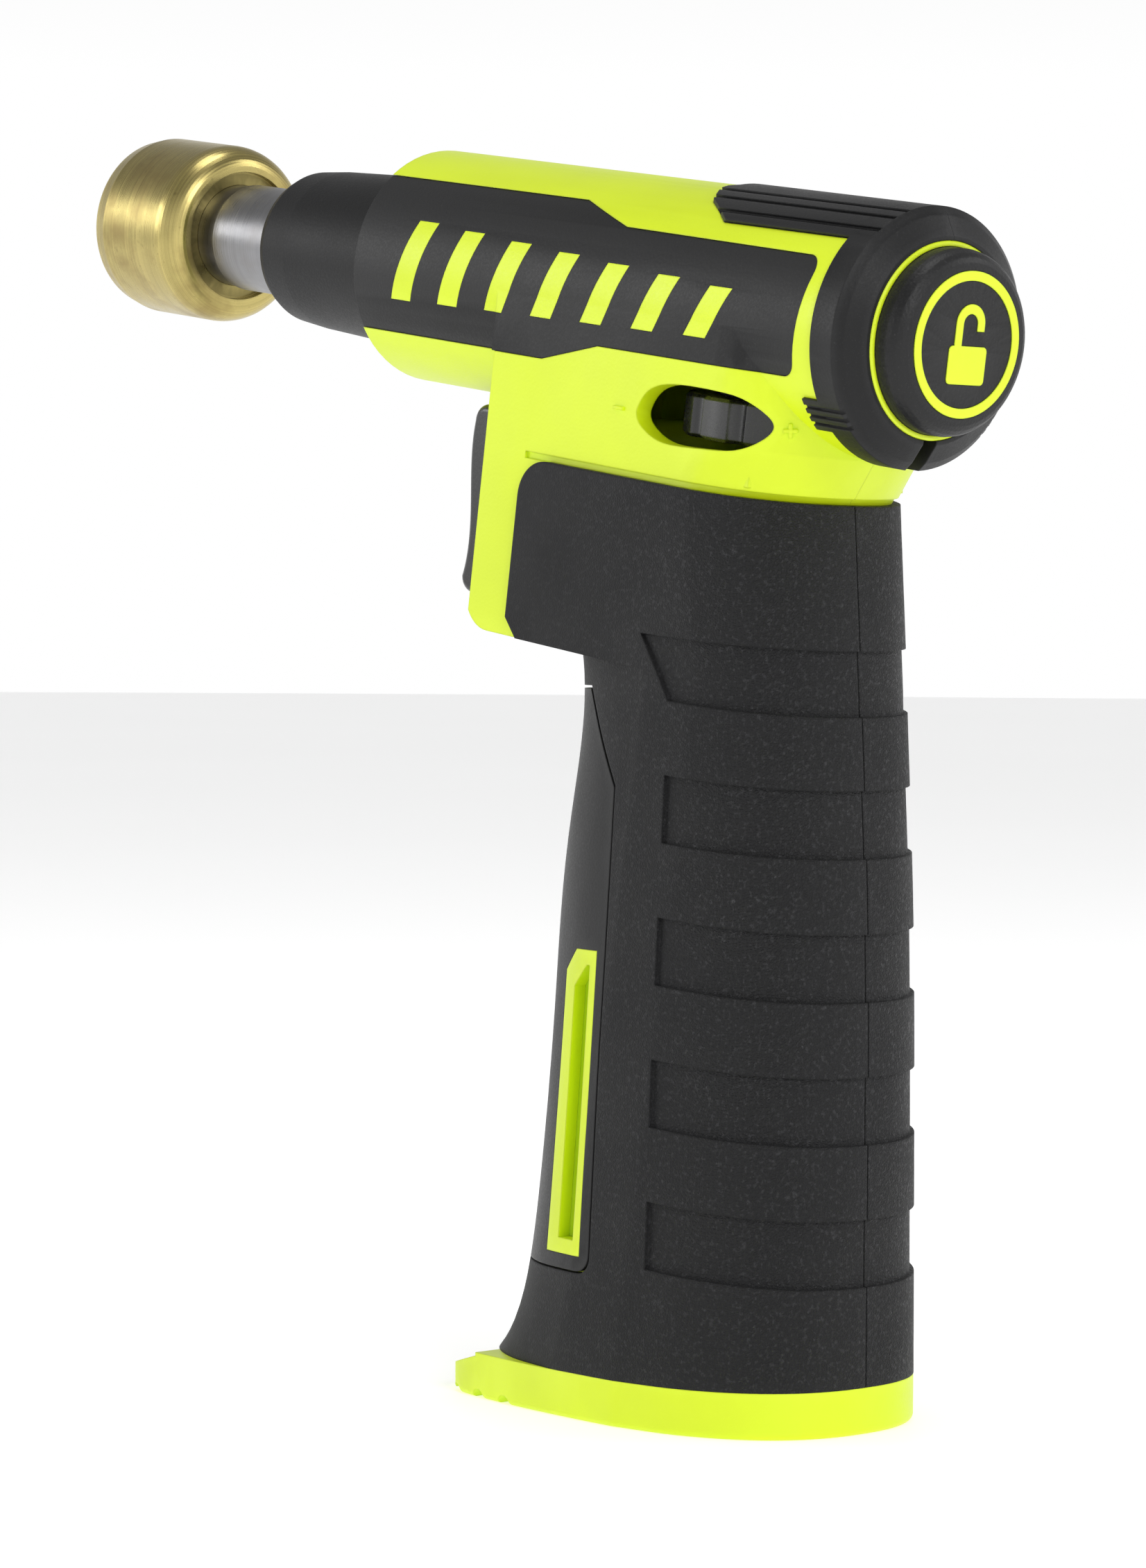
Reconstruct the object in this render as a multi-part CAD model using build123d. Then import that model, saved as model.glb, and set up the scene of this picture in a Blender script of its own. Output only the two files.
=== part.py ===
from build123d import *
from math import atan, cos, sin, pi, radians, tan
import os

# Pistol-grip gas torch.
#
# World frame, millimetres: +X points to the rear of the tool, +Z up, +Y to the user's right.
# The origin is the centre of the base's underside. The tool is symmetrical about y = 0.
# Barrel frame: s runs rearward along the barrel's axis, y is shared, u runs up from the axis.
# Shapes named "left" lie at y < 0; the right ones are their mirror images.

os.makedirs("parts", exist_ok=True)

# ---------------------------------------------------------------- barrel and housing
barrel_tilt = 8.6            # nose-up angle of the barrel
barrel_x = 38.0              # world place of s = 0 on the barrel's axis
barrel_z = 155.3
barrel_r = 17.9
barrel_wall = 2.4
barrel_front = -97.0
barrel_rear = 5.0
front_wall = 2.5

# trigger box and neck, under the barrel
box_front = -62.5
box_bottom = -51.2
box_corner = 5.5             # lower front corner in side view
box_edge = 3.0               # upright front edges
neck_top_rear = 4.6          # rear of the neck at the barrel's axis
neck_waist_u = -18.0
neck_waist_rear = 2.1
neck_groove = 0.45           # thin groove above the grip
neck_groove_height = 1.0

# ---------------------------------------------------------------- handle
base_top = 6.7               # height of the seam between base and grip
grip_top_u = -24.8           # top edge of the grip, in the barrel frame
handle_rear_x = 37.0
handle_rear_lean = 2.2       # how far the handle's back leans forward at the top
lean_start_z = 45.0
lean_end_z = 110.0
handle_half_base = 24.0      # half width at the base
handle_half_top = 18.6       # half width under the trigger box
handle_back_base = 34.0      # reach of the rounded back, from the widest line
handle_back_top = 18.6
handle_top_z = 104.0
handle_power = 2.35          # exponent of the rounded outline
grip_rear_low = 4.8          # rear of the grip at the box's bottom, in the barrel frame
grip_rear_high = -0.92       # and at its top edge
front_reach = [(6.7, 33.5), (12.0, 29.9), (21.0, 28.2), (38.0, 29.0), (57.0, 31.0), (80.0, 33.0)]
front_reach_top = 33.8

grip_skin = 1.6              # thickness of the soft grip
grip_proud = 0.75            # how far the grip stands out from the yellow flanks
shell_wall = 2.0
grip_front = -52.2           # front edge of the grip beside the trigger box
grip_corner = 5.5
seam_gap = 0.1               # half the line between the two grips

# five shallow bands round the back of the grip
band_count = 5
band_low = 20.9              # lower edge of the lowest band, at the back seam
band_height = 9.6
band_pitch = 20.1
band_depth = 0.6
band_slope = 5.5             # the bands fall towards the back
band_front_x = 15.0
band_back_x = 37.0
top_band_front_x = 9.0

# front spine with its sight window, on both sides
spine_x = 3.6
spine_low = 21.3
spine_shoulder = 90.8
spine_tip = 104.9
spine_tip_x = -5.3
spine_gap = 0.3
spine_corner = 2.5
window_front = -7.3
window_rear = 1.6
window_low = 23.4
window_high = 67.3
window_chamfer = 3.2
window_rim = 2.2
window_depth = 2.0
window_gap = 0.03
sight_thickness = 1.0

# ---------------------------------------------------------------- side panels and top rail
panel_skin = 1.0
panel_sunk = 0.12
panel_gap = 0.04
panel_front = -97.0
panel_rear = 2.6
panel_top_front = 13.34
panel_top_rear = 10.3
panel_low_rear = -7.0
panel_low_front = -10.1
panel_jog_start = -50.8
panel_jog_end = -38.8
mark_backing = 0.8
mark_bars = 7
mark_front = -88.0
mark_rear = -10.0
mark_high = 7.2
mark_low = -5.0
mark_bar = 4.6
mark_lean = 4.2

rail_r = 18.4
rail_floor = 17.0
rail_angle = 44.5            # reach of the rail to each side of the top
rail_front = -29.0
rail_tip_front = -19.5
rail_grooves = [20.5, 28.5, 38.5]
rail_groove_width = 0.9
rail_groove_depth = 0.55

# ---------------------------------------------------------------- rear collar, bezel and lock button
cowl_r = 18.4
cowl_front = 5.2
cowl_shoulder = 10.6
cowl_shoulder_r = 17.2
cowl_rear = 12.3
cowl_rear_r = 14.45
cowl_spigot = 3.6
cowl_spigot_r = 15.4
cowl_tab_front = 2.1
cowl_notch = 1.3
bezel_r = 13.83
bezel_wall = 0.73
bezel_rear = 12.5
bezel_front = 1.6
bezel_gap = 0.05
button_gap = 0.08            # running fit of the button in its bezel
button_front = 4.0
button_face = 17.1
button_face_r = 10.45
button_fillet = 2.6
button_stem_r = 4.0
button_stem_front = -8.0
button_travel = 2.5
stem_gap = 0.05
emblem_r = 10.15
emblem_inner = 8.8
emblem_depth = 0.35
emblem_proud = 0.12
lock_body_width = 7.3
lock_body_height = 5.3
lock_centre_y = 0.3
lock_centre_u = -2.85
shackle_width = 5.5
shackle_stroke = 1.35
shackle_rise = 5.8
shackle_short = 2.1
guide_front = -9.5
guide_rear = -6.5
guide_low = -11.0           # the guide is cut flat above the flame wheel

# ---------------------------------------------------------------- flame wheel and regulator
wheel_s = -15.0
wheel_r = 15.8
wheel_low = -17.7
wheel_high = -11.6
wheel_lobes = 12
wheel_scallop_r = 1.7
wheel_scallop_out = 0.7
wheel_bore_gap = 0.4
wheel_edge = 0.5
spindle_r = 2.2
spindle_low = -23.5
spindle_high = -4.0
spindle_flange_r = 5.0
spindle_gap = 0.05
valve_front = -26.5
valve_rear = -11.0
valve_low = -10.4
valve_high = 5.0
valve_half = 7.0
port_front = -28.9           # the opening beside the wheel
port_rear = -3.7
port_low = -19.1
port_high = -10.5

# ---------------------------------------------------------------- burner line
cup_front = -171.6
cup_rear = -149.6
cup_r = 14.45
cup_wall = 1.3
cup_lip = 0.6
cup_lip_length = 2.8
cup_shoulder = 4.6
cup_floor = 4.2
shoulder_steps = 10
cup_recess_r = 10.4
cup_recess = 1.2
tube_r = 8.6
tube_wall = 0.9
tube_neck_r = 8.2
tube_neck_rear = -146.8
tube_front = -153.6
tube_rear = -103.0
press_gap = 0.02
holder_thickness = 4.0
holder_hole_r = 0.8
nose_front = -130.0
nose_front_r = 12.1
nose_rear_r = 13.55
nose_fillet = 2.0
nose_flange_r = 15.3
nose_flange = 3.0
nose_inner_r = 10.4
jet_length = 16.0
jet_r = 5.6
feed_r = 2.0
electrode_r = 0.6
insulator_r = 1.7
electrode_y = -4.0
electrode_u = -3.0
electrode_tip = -158.0
wire_r = 0.9

# ---------------------------------------------------------------- trigger and igniter
trigger_half = 7.4
trigger_top = -19.2
trigger_low = -48.0
trigger_nose = -77.6
trigger_waist = -76.3
trigger_foot = -76.9
trigger_corner = 2.6
trigger_edge = 1.1
trigger_gap = 0.4
trigger_back = -56.4
trigger_travel = 5.0
igniter_u = -34.0
igniter_r = 6.0
igniter_front = -45.5
igniter_rear = -13.0
plunger_r = 3.2
plunger_gap = 0.05
plunger_in = 3.0
spring_wire = 0.5
trigger_spring_r = 4.6
lock_spring_r = 6.6
spring_turns = 5

# ---------------------------------------------------------------- fuel tank and valves
floor_thickness = 2.2
tank_clear = 0.4
tank_wall = 1.6
tank_high = 86.0
tank_neck_r = 6.0
tank_neck_high = 92.0
tank_neck_x = 16.5
outlet_r = 4.6
outlet_high = 106.0
outlet_stem_r = 1.5
outlet_travel = 2.0
gas_tube_r = 1.1
filler_x = 10.0
filler_r = 4.2
filler_low = 4.8
filler_high = 15.0
filler_stem_r = 1.1
filler_stem_low = 3.4
filler_travel = 1.5
seal_wire = 0.8

# bar behind the trigger, whose ramp presses the tank's valve
slide_low = -46.4
slide_high = -41.2
slide_half = 2.5
slide_in = 1.5               # length let into the trigger
slide_rear = -11.5
slide_guide_front = -36.0
slide_guide_gap = 0.3
ramp_meets_u = -43.8         # where the ramp crosses the valve's axis
ramp_play = 0.05

# ---------------------------------------------------------------- base
base_half = 24.0
base_back = 34.3
base_front_x = -33.0
lip_corner_x = -30.0
lip_corner_y = 20.6
lip_start_x = -22.0
lip_tip_top = 3.1
lip_tip_low = 0.9
lip_low_start_x = -26.0
rib_count = 3
rib_first_x = -27.9
rib_pitch = 6.6
rib_notch_r = 1.5
rib_notch_depth = 1.3
base_edge = 0.9
base_hole_r = 8.0
latch_height = 1.9
latch_places = (-18.0, 26.0)
latch_size = 4.0
latch_gap = 0.35

# ---------------------------------------------------------------- screws
screw_head_r = 2.9
screw_head = 1.8
screw_r = 1.35
screw_boss_r = 3.6
screw_sunk = 1.2
# (name, s, u, half width of the surface the head is sunk in)
screw_places = [
    ("screw_front", -84.0, -9.0, 13.1),
    ("screw_middle", -46.0, -21.3, 17.85),
    ("screw_low", -28.0, -64.0, 15.2),
]

outline_points = 9
margin = 60.0


# ================================================================ frames and helpers
barrel_plane = Plane(
    origin=(barrel_x, 0, barrel_z),
    x_dir=(cos(radians(barrel_tilt)), 0, -sin(radians(barrel_tilt))),
    z_dir=(sin(radians(barrel_tilt)), 0, cos(radians(barrel_tilt))),
)
barrel = barrel_plane.location


def save(name, solid):
    export_step(solid, "parts/" + name + ".step")


def save_pair(name, left):
    """Write a left-hand piece and its mirror image."""
    save(name + "_left", left)
    save(name + "_right", mirror(left, Plane.XZ))


def prism(face, y_low, y_high):
    """Extrude a side view, drawn in X and Z, from one y to another."""
    at = Plane(origin=(0, y_high, 0), x_dir=(1, 0, 0), z_dir=(0, -1, 0))
    return extrude(at * face, y_high - y_low)


def outline(*points):
    return make_face(Polyline(*points, close=True))


def turned(*points):
    """Revolve (s, radius) points about the barrel's axis, in the barrel frame."""
    return revolve(Plane.XZ * outline(*points), Axis.X)


def rod(radius, start, end, y=0.0, u=0.0):
    """A round bar along s, in the barrel frame."""
    return Pos(start, y, u) * (Plane.YZ * extrude(Circle(radius), end - start))


def upright(radius, low, high, x, y=0.0):
    """A round bar along Z."""
    return Pos(x, y, low) * extrude(Circle(radius), high - low)


def block(x_low, x_high, y_low, y_high, z_low, z_high):
    middle = Pos((x_low + x_high) / 2, (y_low + y_high) / 2, (z_low + z_high) / 2)
    return middle * Box(x_high - x_low, y_high - y_low, z_high - z_low)


def left_half(solid, gap=0.0):
    """Keep what lies at y < -gap."""
    return solid & block(-4 * margin, 2 * margin, -margin, -gap, -2 * margin, 4 * margin)


def round_corner(middle, reach, half):
    """A quarter of the handle's rounded outline, from y = 0 to the widest line."""
    points = []
    for i in range(outline_points):
        turn = i / (outline_points - 1) * pi / 2
        along = max(cos(turn), 0.0) ** (2 / handle_power)
        points.append((middle + reach * along, -half * sin(turn) ** (2 / handle_power)))
    side = 1 if reach > 0 else -1
    return Spline(points, tangents=[(0, -1), (-side, 0)])


def oval(plane, middle, back, half, front):
    """Left half of a closed outline, rounded behind and in front."""
    rear_curve = round_corner(middle, back, half)
    front_curve = round_corner(middle, -front, half)
    closing = Line((middle - front, 0), (middle + back, 0))
    return plane * make_face([rear_curve, front_curve, closing])


def slab(plane, rear, back, half, front):
    """Left half of a closed outline, rounded behind and square in front."""
    middle = rear - back
    rear_curve = round_corner(middle, back, half)
    side = Line((middle, -half), (front, -half))
    nose = Line((front, -half), (front, 0))
    closing = Line((front, 0), (rear, 0))
    return plane * make_face([rear_curve, side, nose, closing])


def level(z):
    return Plane.XY.offset(z)


def barrel_level(u):
    return barrel_plane.offset(u)


# ================================================================ outer forms
def handle_at(z):
    """Widest line, back reach and half width of the handle at a height."""
    share = (handle_top_z - z) / (handle_top_z - base_top)
    half = handle_half_top + (handle_half_base - handle_half_top) * share
    back = handle_back_top + (handle_back_base - handle_back_top) * share
    lean = max(0.0, (z - lean_start_z) / (lean_end_z - lean_start_z)) ** 2
    return handle_rear_x - handle_rear_lean * lean - back, back, half


def handle_form(inset, low=None):
    """Left half of the handle below the trigger box, drawn in by an inset."""
    sections = []
    for z, front in front_reach:
        middle, back, half = handle_at(z)
        sections.append(oval(level(z), middle, back - inset, half - inset, front - inset))
    top_middle = grip_rear_low - handle_back_top
    sections.append(oval(barrel_level(box_bottom), top_middle, handle_back_top - inset,
                         handle_half_top - inset, front_reach_top - inset))
    form = loft(sections)
    if low is not None:
        form = form & block(-margin, margin, -margin, 0, low, 2 * margin)
    return form


def upper_form(inset, front, low=0.0, high=grip_top_u):
    """Left half of the part beside the trigger box, in world coordinates."""
    sections = []
    for u, rear in ((box_bottom, grip_rear_low), (grip_top_u, grip_rear_high)):
        sections.append(slab(barrel_level(u), rear - inset, handle_back_top - inset,
                             handle_half_top - inset, front))
    form = loft(sections, ruled=True)
    keep = block(-2 * margin, margin, -margin, 0, box_bottom + low, high)
    return form & (barrel * keep)


def upper_region():
    """Side view of the grip beside the trigger box, as a tall block."""
    view = outline(
        (grip_front, grip_top_u),
        (grip_front, box_bottom + 2.8),
        (grip_front + 3.2, box_bottom - 0.5),
        (margin, box_bottom - 0.5),
        (margin, grip_top_u),
    )
    corner = view.vertices().sort_by(Axis.X)[0:2].sort_by(Axis.Y)[-1]
    return prism(fillet(corner, grip_corner), -margin, 0)


def spine_region(grow=0.0):
    """Side view of the front spine, as a block; grow widens it on every side."""
    view = outline(
        (-margin, spine_low - grow),
        (spine_x + grow, spine_low - grow),
        (spine_x + grow, spine_shoulder + grow),
        (spine_tip_x + grow, spine_tip + grow * 1.5),
        (-margin, spine_tip + grow * 1.5),
    )
    corner = view.vertices().sort_by(Axis.X)[-2:].sort_by(Axis.Y)[0]
    return prism(fillet(corner, spine_corner), -margin, 0)


def bands():
    """The shallow bands, as blocks that follow their slope."""
    blocks = []
    for i in range(band_count):
        low = band_low + i * band_pitch
        rise = (band_back_x - band_front_x) * tan(radians(band_slope))
        front = band_front_x
        slant = 0.0
        if i == band_count - 1:
            front = top_band_front_x
            slant = band_front_x - top_band_front_x
        view = outline(
            (front + slant, low + rise),
            (margin, low + rise - (margin - front) * tan(radians(band_slope))),
            (margin, low + rise + band_height - (margin - front) * tan(radians(band_slope))),
            (front, low + rise + band_height),
        )
        blocks.append(prism(view, -margin, 0))
    return blocks


# ================================================================ yellow housing
def neck_rear(u):
    """Rear of the neck at a height in the barrel frame: a waist that flares up to the barrel."""
    if u < neck_waist_u:
        foot = grip_rear_high - grip_proud
        return foot + (neck_waist_rear - foot) * (u - grip_top_u) / (neck_waist_u - grip_top_u)
    return neck_waist_rear + (neck_top_rear - neck_waist_rear) * (u - neck_waist_u) / -neck_waist_u


def neck_form(inset, low=grip_top_u, high=0.0):
    """Left half of the body between grip and barrel axis, in the barrel's own frame."""
    half = handle_half_top - grip_proud - inset
    heights = [low] + [u for u in (neck_waist_u,) if low < u < high] + [high]
    sections = [slab(level(u), neck_rear(u) - inset, half, half, box_front + inset) for u in heights]
    return loft(sections, ruled=True)


def barrel_form(inset, front=barrel_front, rear=barrel_rear):
    whole = rod(barrel_r - inset, front, rear)
    return left_half(whole)


def box_limits():
    """Rounds the upright front edge and the lower front corner of the trigger box."""
    plan = outline((box_front, 0), (box_front, -(handle_half_top - grip_proud)),
                   (margin, -margin), (margin, 0))
    edge = plan.vertices().sort_by(Axis.X)[0:2].sort_by(Axis.Y)[0]
    plan_block = Pos(0, 0, box_bottom - margin) * extrude(fillet(edge, box_edge), margin - box_bottom)
    view = outline((box_front, margin), (box_front, box_bottom), (margin, box_bottom), (margin, margin))
    corner = view.vertices().sort_by(Axis.X)[0:2].sort_by(Axis.Y)[0]
    return plan_block, prism(fillet(corner, box_corner), -margin, 0)


def port_block():
    """The almond-shaped opening beside the flame wheel."""
    middle = (port_low + port_high) / 2
    tip = middle + 0.5
    shape = Spline(
        [
            (port_front, middle),
            (port_front + 2.2, middle + 2.9),
            (port_front + 8.0, port_high),
            (wheel_s + 2.5, port_high),
            (port_rear - 2.3, middle + 2.9),
            (port_rear, tip),
            (port_rear - 1.7, tip - 2.4),
            (wheel_s + 1.5, port_low + 0.3),
            (port_front + 9.0, port_low),
            (port_front + 2.0, middle - 2.9),
        ],
        periodic=True,
    )
    return prism(make_face(shape), -margin, 0)


def panel_region(grow=0.0):
    """Side view of the black side panel, as a block; grow widens it on every side."""
    view = outline(
        (panel_front - margin, panel_top_front + grow),
        (panel_jog_start + grow, panel_top_front + grow),
        (panel_jog_end + grow, panel_top_rear + grow),
        (panel_rear + grow, panel_top_rear - 0.4 + grow),
        (panel_rear - 1.8 + grow, panel_low_rear - grow),
        (panel_jog_end - grow, panel_low_rear - grow),
        (panel_jog_start - grow, panel_low_front - grow),
        (panel_front - margin, panel_low_front - grow),
    )
    corners = view.vertices().sort_by(Axis.X)[-2:]
    front = block(panel_front - grow, margin, -margin, 0, -margin, margin)
    return prism(fillet(corners, 2.2), -margin, 0) & front


def flank(inset):
    """Outer skin that the side panel is let into, drawn in by an inset."""
    return barrel_form(inset) + neck_form(inset, low=-13.0)


def mark_view():
    """A row of leaning bars, a generic ornament."""
    pitch = (mark_rear - mark_front) / mark_bars
    bars = []
    for i in range(mark_bars):
        start = mark_front + i * pitch
        tall = mark_high - 0.55 * i
        deep = mark_low + 0.25 * i
        bars.append(outline((start, deep), (start + mark_bar, deep),
                            (start + mark_bar + mark_lean, tall), (start + mark_lean, tall)))
    return bars


def side_panel_parts():
    """The black side panel and the yellow ornament that shows through it."""
    skin = flank(panel_sunk)
    bed = flank(panel_skin)
    deep = flank(panel_skin + mark_backing)
    bars = mark_view()
    cutters = [prism(bar, -margin, 0) for bar in bars]
    plate_view = outline((mark_front - 1.5, mark_low - 1), (mark_rear + 3.5, mark_low - 1),
                         (mark_rear + 3.5, mark_high + 1), (mark_front - 1.5, mark_high + 1))
    plate = prism(plate_view, -margin, 0)
    panel = (skin & panel_region()) - bed
    mark = (bed & plate) - deep
    shown = flank(panel_sunk)
    for cutter in cutters:
        panel = panel - cutter
        mark = mark + ((shown & cutter) - bed)
    return panel, mark, plate


def tube_sector(inner, outer, front, rear, low, high):
    """A strip of tube on the left, between two angles from the top, in the barrel frame."""
    ring = rod(outer, front, rear) - rod(inner, front, rear)
    reach = 2 * margin
    spokes = [(0, 0)]
    for angle in (low, (low + high) / 2, high):
        spokes.append((-reach * sin(radians(angle)), reach * cos(radians(angle))))
    return ring & (Pos(front, 0, 0) * extrude(Plane.YZ * outline(*spokes), rear - front))


def rail_tip_cut():
    """Slants the rail's front end: longest beside the top, shorter towards its edge."""
    view = outline((rail_front - 5, -margin), (rail_tip_front, -margin), (rail_tip_front, -13.2),
                   (rail_front + 2.2, -9.4), (rail_front, -6.2), (rail_front, -4.8),
                   (rail_front + 1.2, -3.6), (rail_front + 1.2, 1), (rail_front - 5, 1))
    return extrude(Plane.XY * view, margin)


def collar():
    """Left half of the black rear collar with its top rail."""
    bore = bezel_r + bezel_gap
    ring = turned(
        (cowl_front - cowl_spigot, bore), (cowl_front - cowl_spigot, cowl_spigot_r),
        (cowl_front, cowl_spigot_r), (cowl_front, cowl_r), (cowl_shoulder - 1.2, cowl_r),
        (cowl_shoulder, cowl_shoulder_r), (cowl_rear, cowl_rear_r), (cowl_rear, bore),
    )
    rail = tube_sector(rail_floor, rail_r, rail_front, cowl_front, 0, rail_angle) - rail_tip_cut()
    joint = tube_sector(rail_floor, rail_r, cowl_front - 0.4, cowl_front + 2, 0, rail_angle)
    form = left_half(ring) + rail + joint
    for angle in rail_grooves:
        groove = Rot(X=angle) * block(rail_front - 5, cowl_front + 4.2, -rail_groove_width / 2,
                                      rail_groove_width / 2, rail_r - rail_groove_depth, rail_r + 2)
        form = form - groove
    tab = tube_sector(barrel_r + 0.03, cowl_r, cowl_tab_front, cowl_front + 0.5, 122, 139)
    form = form + tab
    for angle in (126.0, 130.5, 135.0):
        form = form - (Rot(X=angle) * block(cowl_tab_front - 1, cowl_shoulder - 0.5, -0.35, 0.35,
                                            cowl_r - 0.4, cowl_r + 2))
    notch = block(cowl_front - 1, cowl_rear + 1, -cowl_notch, 0, -cowl_r - 1, -cowl_rear_r + 0.6)
    return form - notch


def grip_and_spine():
    outer = handle_form(0) + upper_form(0, box_front - 3)
    join = oval(barrel_level(box_bottom), grip_rear_low - handle_back_top, handle_back_top - grip_skin,
                handle_half_top - grip_skin, front_reach_top - grip_skin)
    bridge = extrude(join, 1.3 * grip_skin, dir=barrel_plane.z_dir)
    lower_core = handle_form(grip_skin) + bridge
    core = lower_core + upper_form(grip_skin, box_front - 4, low=grip_skin)
    below = block(-4 * margin, margin, -margin, 0, -4 * margin, box_bottom)
    grip = (outer & (barrel * (upper_region() + below))) - core
    grip = grip - spine_region(spine_gap)
    inner = handle_form(band_depth) + upper_form(band_depth, box_front - 3)
    for band in bands():
        grip = grip - ((outer & band) - inner)
    spine = (handle_form(0) & spine_region()) - lower_core
    return grip, spine, lower_core


def window_view(front_in, rear_in, end_in):
    """Side view of the sight window, drawn in from its front, rear and ends."""
    chamfer = window_chamfer
    return outline(
        (window_front + front_in, window_low + end_in),
        (window_rear - rear_in, window_low + end_in),
        (window_rear - rear_in, window_high - end_in),
        (window_front + front_in + chamfer, window_high - end_in),
        (window_front + front_in, window_high - end_in - chamfer),
    )


def sight_parts():
    """Window frame and the sight strip at the bottom of its channel."""
    room = prism(window_view(0, 0, 0), -margin, 0)
    body = prism(window_view(window_gap, window_gap, window_gap), -margin, 0)
    channel = prism(window_view(window_rim + 1.0, window_rim - 0.5, window_rim), -margin, 0)
    frame = (handle_form(0) & body) - handle_form(grip_skin + shell_wall)
    sight = (handle_form(window_depth) & channel) - handle_form(window_depth + sight_thickness)
    frame = frame - ((handle_form(0) & channel) - handle_form(window_depth + sight_thickness))
    return room, frame, sight


def half_web(front, rear, low, high, half):
    """Left half of a cross wall inside the housing, in the barrel frame."""
    return block(front, rear, -half, 0, low, high)


def housing_webs():
    """Cross walls that carry the mechanism, left half, in the barrel frame."""
    inside = barrel_r - barrel_wall + 0.3
    room_half = handle_half_top - grip_skin - shell_wall + 0.3
    jet_web = barrel_front + front_wall + nose_flange + press_gap
    front_web = left_half(rod(inside, jet_web, jet_web + 2.5) -
                          rod(jet_r + press_gap, jet_web - 1, jet_web + 3) -
                          rod(insulator_r + press_gap, jet_web - 1, jet_web + 3, electrode_y, electrode_u))
    valve_web = left_half(rod(inside, valve_front + 2, valve_front + 4))
    valve_web = valve_web & block(valve_front, valve_rear, -inside, 0, valve_low, inside)
    valve_room = block(valve_front - 1, valve_rear + 1, -(valve_half + press_gap), 0,
                       valve_low - 1, valve_high + press_gap)
    valve_web = valve_web - valve_room
    igniter_hole = rod(igniter_r + press_gap, igniter_front - 10, igniter_rear + 10, u=igniter_u)
    webs = [front_web, valve_web]
    for start in (igniter_front + 2.5, igniter_rear - 5.5):
        web = half_web(start, start + 2, igniter_u - 6.8, igniter_u + 7.5, room_half)
        webs.append(web - igniter_hole)
    bearing = half_web(wheel_s - 8, wheel_s + 8, spindle_low + 0.2, spindle_low + 2.2, room_half)
    bearing = bearing - Pos(wheel_s, 0, spindle_low - 5) * extrude(Circle(spindle_r + spindle_gap), 20)
    webs.append(bearing)
    guide = half_web(slide_guide_front, slide_guide_front + 2, slide_low - 3, slide_high + 1, room_half)
    reach = slide_half + slide_guide_gap
    webs.append(guide - block(slide_guide_front - 1, slide_guide_front + 3, -reach, 1,
                              slide_low - slide_guide_gap, slide_high + slide_guide_gap))
    return webs


def tank_web():
    """Cross wall above the tank that steadies its neck, left half."""
    core = handle_form(grip_skin + 1) & block(-margin, margin, -margin, 0, tank_high + 1, tank_high + 3)
    return core - upright(tank_neck_r + press_gap, tank_high, tank_high + 4, tank_neck_x)


def side_rod(radius, y_low, y_high, s, u):
    """A round bar from side to side through (s, u), in the barrel frame."""
    at = Plane(origin=(s, y_high, u), x_dir=(1, 0, 0), z_dir=(0, -1, 0))
    return at * extrude(Circle(radius), y_high - y_low)


def boss_reach(half_width):
    return half_width - barrel_wall + 0.4


def add_screws(left, right):
    """Bosses, blind holes and counterbores for the screws."""
    for name, s, u, half_width in screw_places:
        wall = boss_reach(half_width)
        seat = half_width - screw_sunk - screw_head
        right = right + (barrel * side_rod(screw_boss_r, 0, wall, s, u))
        left = left + (barrel * side_rod(screw_boss_r, -wall, 0, s, u))
        left = left - (barrel * side_rod(screw_r + press_gap, -wall + 1.5, 1, s, u))
        hole = side_rod(screw_r + 0.15, -0.5, seat + 1, s, u)
        right = right - (barrel * (side_rod(screw_head_r + 0.3, seat, margin, s, u) + hole))
    return left, right


def screw_parts():
    for name, s, u, half_width in screw_places:
        seat = half_width - screw_sunk - screw_head
        top = seat + screw_head
        body = side_rod(screw_head_r, seat, top, s, u)
        body = body + side_rod(screw_r, 2.0 - boss_reach(half_width), seat + 0.5, s, u)
        body = body - block(s - 1.8, s + 1.8, top - 0.9, top + 1, u - 0.35, u + 0.35)
        body = body - block(s - 0.35, s + 0.35, top - 0.9, top + 1, u - 1.8, u + 1.8)
        save(name, barrel * body)


def save_housing(body):
    """Add the cross walls and screw bosses, then write the two halves of the yellow housing."""
    for web in housing_webs():
        body = body + (barrel * web)
    body = body + tank_web()
    left, right = add_screws(body, mirror(body, Plane.XZ))
    tank_low = base_top + floor_thickness
    cuts = [upright(filler_r + press_gap, 0, tank_low + 1, filler_x)]
    for x in latch_places:
        cuts.append(block(x - latch_size / 2 - latch_gap, x + latch_size / 2 + latch_gap,
                          -latch_size - latch_gap, latch_size + latch_gap, 0, tank_low + 1))
    for cut in cuts:
        left = left - cut
        right = right - cut
    save("housing_left", left)
    save("housing_right", right)


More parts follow.
